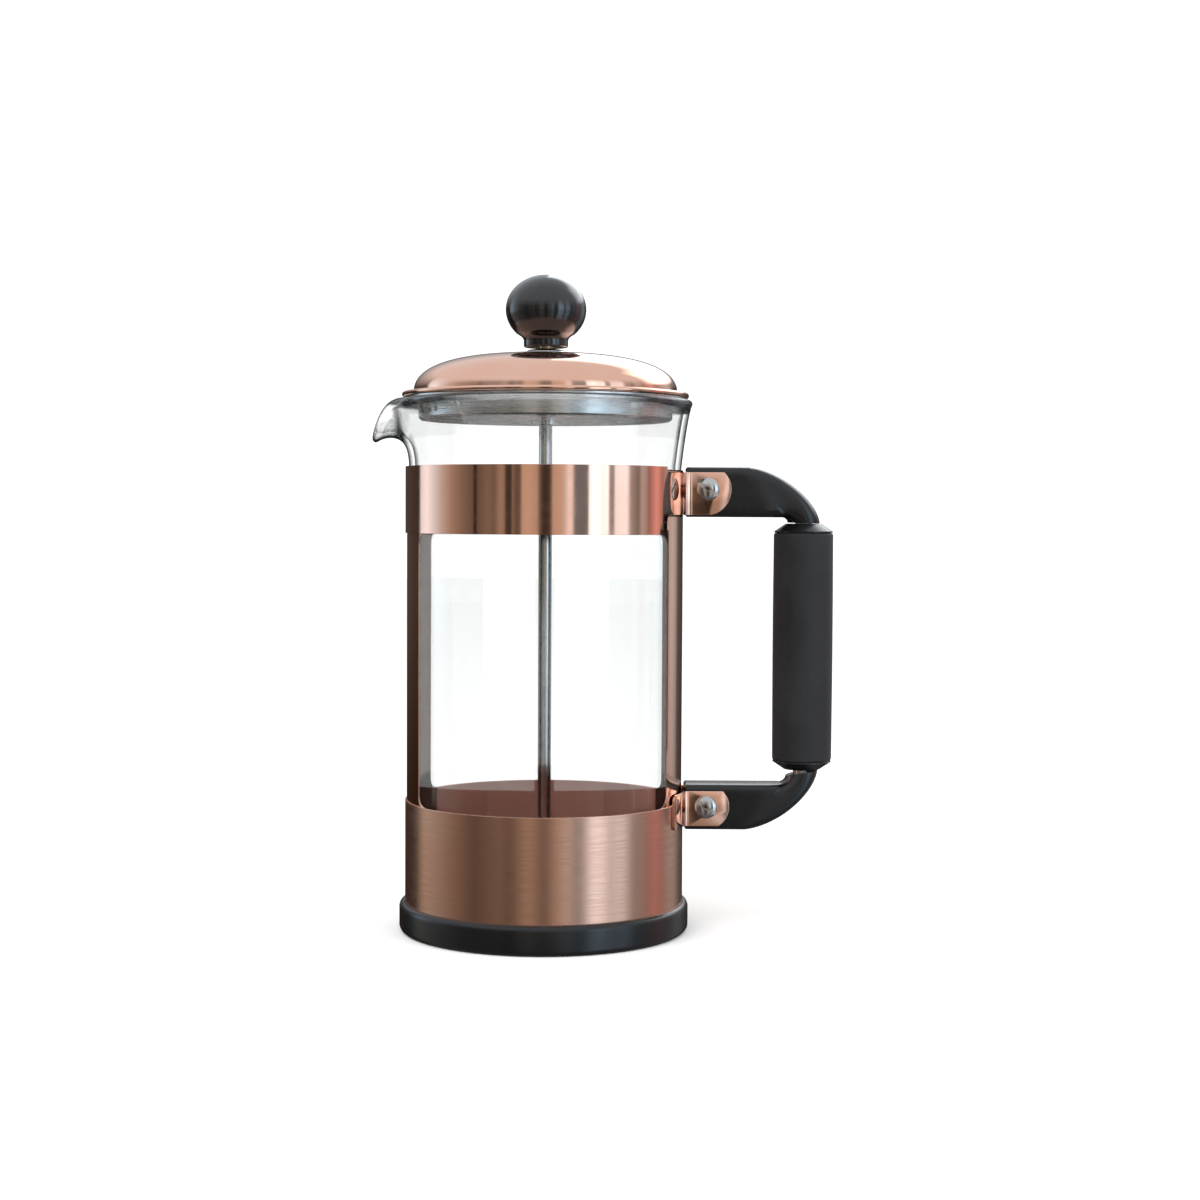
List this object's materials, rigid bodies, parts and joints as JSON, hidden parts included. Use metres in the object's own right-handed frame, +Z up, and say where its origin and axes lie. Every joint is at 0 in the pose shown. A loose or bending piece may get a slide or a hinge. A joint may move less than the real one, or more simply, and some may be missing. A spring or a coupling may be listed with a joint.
{
  "type": "french press",
  "caption": "French press: spouted glass beaker in a copper sheet frame with a black handle, a domed lid and a plunger with a mesh filter.",
  "frame": {"origin": "on the beaker's axis, on the surface that the base stands on", "axes": "+Z up along the beaker, +X towards the handle, -X towards the spout, -Y the side that the screw heads face"},
  "size_m": [0.1663, 0.1056, 0.2359],
  "materials": {
    "polished_copper": "mirror-polished copper plate on steel sheet",
    "brushed_copper": "copper plate with a fine vertical brushing",
    "black_plastic": "satin black moulded plastic",
    "gloss_black": "polished black phenolic",
    "rubber": "soft matte rubber",
    "glass": "clear borosilicate, fire-polished rim",
    "steel": "satin stainless steel",
    "bright_steel": "polished stainless steel",
    "steel_mesh": "fine woven stainless mesh",
    "brass": "turned brass"
  },
  "bodies": {
    "frame": {"base_cup": "black_plastic", "beaker_cushion": "rubber", "lower_band": "brushed_copper", "upper_band": "polished_copper", "spout_side_post": "polished_copper", "handle_side_post": "polished_copper", "lower_front_clip": "polished_copper", "lower_rear_clip": "polished_copper", "upper_handle_arm": "black_plastic", "lower_handle_arm": "black_plastic", "grip_core_rod": "steel", "grip_tube": "black_plastic", "grip_sleeve": "rubber", "upper_grip_collar": "black_plastic", "lower_grip_collar": "black_plastic", "upper_screw": "bright_steel", "lower_screw": "bright_steel", "upper_nut": "bright_steel", "lower_nut": "bright_steel"},
    "beaker": {"glass_beaker": "glass"},
    "lid_bushing": {"lid_bushing": "bright_steel", "lid_bushing_ring": "bright_steel"},
    "lid": {"lid_dome": "polished_copper", "lid_strainer": "steel", "lid_spacer": "black_plastic"},
    "plunger": {"plunger_rod": "bright_steel", "plunger_knob": "gloss_black", "knob_insert": "brass", "filter_hub": "steel", "spring_plate": "steel", "edge_coil": "bright_steel", "mesh_disc": "steel_mesh", "cross_plate": "steel", "filter_nut": "steel"}
  },
  "joints": [
    {"name": "beaker_lift", "type": "slide", "parent": "frame", "child": "beaker", "axis": [0, 0, 1], "range_m": [0, 0.17]},
    {"name": "lid_lift", "type": "slide", "parent": "beaker", "child": "lid_bushing", "axis": [0, 0, 1], "range_m": [0, 0.2]},
    {"name": "lid_turn", "type": "hinge", "parent": "lid_bushing", "child": "lid", "pos_m": [0, 0, 0.19], "axis": [0, 0, 1], "continuous": true},
    {"name": "plunger_slide", "type": "slide", "parent": "lid_bushing", "child": "plunger", "axis": [0, 0, 1], "range_m": [0, 0.15]}
  ]
}
